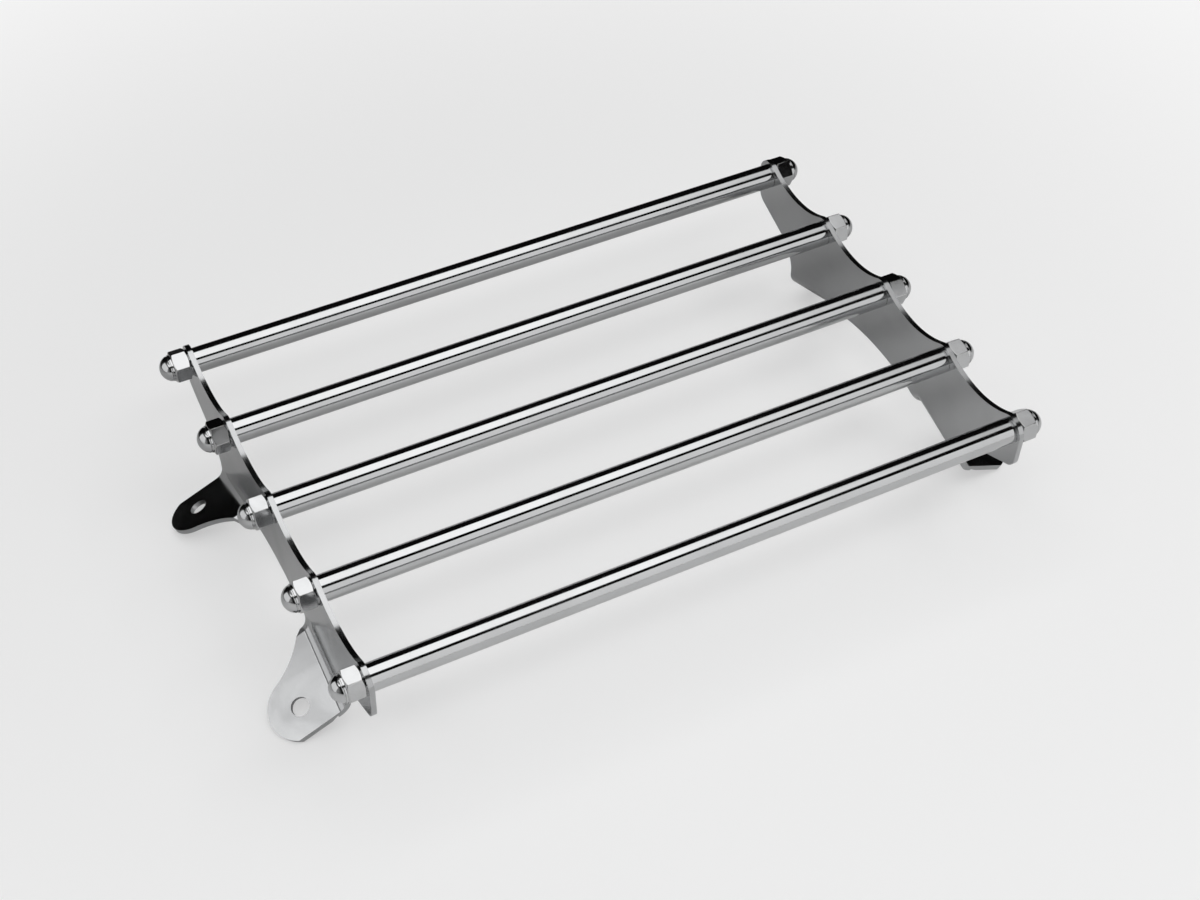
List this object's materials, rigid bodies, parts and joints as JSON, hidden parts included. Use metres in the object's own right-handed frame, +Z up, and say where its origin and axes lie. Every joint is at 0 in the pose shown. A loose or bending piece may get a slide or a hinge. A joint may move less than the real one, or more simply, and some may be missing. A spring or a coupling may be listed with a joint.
{
  "type": "rear rack",
  "caption": "Chromed rear luggage rack: round cross tubes between scalloped side plates, held by through rods with domed cap nuts, on bent mounting ears.",
  "frame": {"origin": "middle of the rack, on the level its four ear tips stand on", "axes": "+X along the cross tubes to the right plate, +Y along the side plates, +Z up"},
  "size_m": [0.3942, 0.239, 0.0727],
  "materials": {
    "plate": "bright chrome plate on polished steel sheet",
    "tube": "bright chrome plate on drawn steel tube",
    "nut": "bright chrome plate on turned steel",
    "rod": "zinc plated threaded rod",
    "bush": "plain turned steel"
  },
  "bodies": {
    "root": {"side_plate_left": "plate", "side_plate_right": "plate", "cross_tube_1": "tube", "cross_tube_2": "tube", "cross_tube_3": "tube", "cross_tube_4": "tube", "cross_tube_5": "tube", "tie_rod_1": "rod", "tie_rod_2": "rod", "tie_rod_3": "rod", "tie_rod_4": "rod", "tie_rod_5": "rod", "centring_bush_left_1": "bush", "centring_bush_right_1": "bush", "centring_bush_left_2": "bush", "centring_bush_right_2": "bush", "centring_bush_left_3": "bush", "centring_bush_right_3": "bush", "centring_bush_left_4": "bush", "centring_bush_right_4": "bush", "centring_bush_left_5": "bush", "centring_bush_right_5": "bush", "cap_nut_left_1": "nut", "cap_nut_right_1": "nut", "cap_nut_left_2": "nut", "cap_nut_right_2": "nut", "cap_nut_left_3": "nut", "cap_nut_right_3": "nut", "cap_nut_left_4": "nut", "cap_nut_right_4": "nut", "cap_nut_left_5": "nut", "cap_nut_right_5": "nut"}
  },
  "joints": []
}
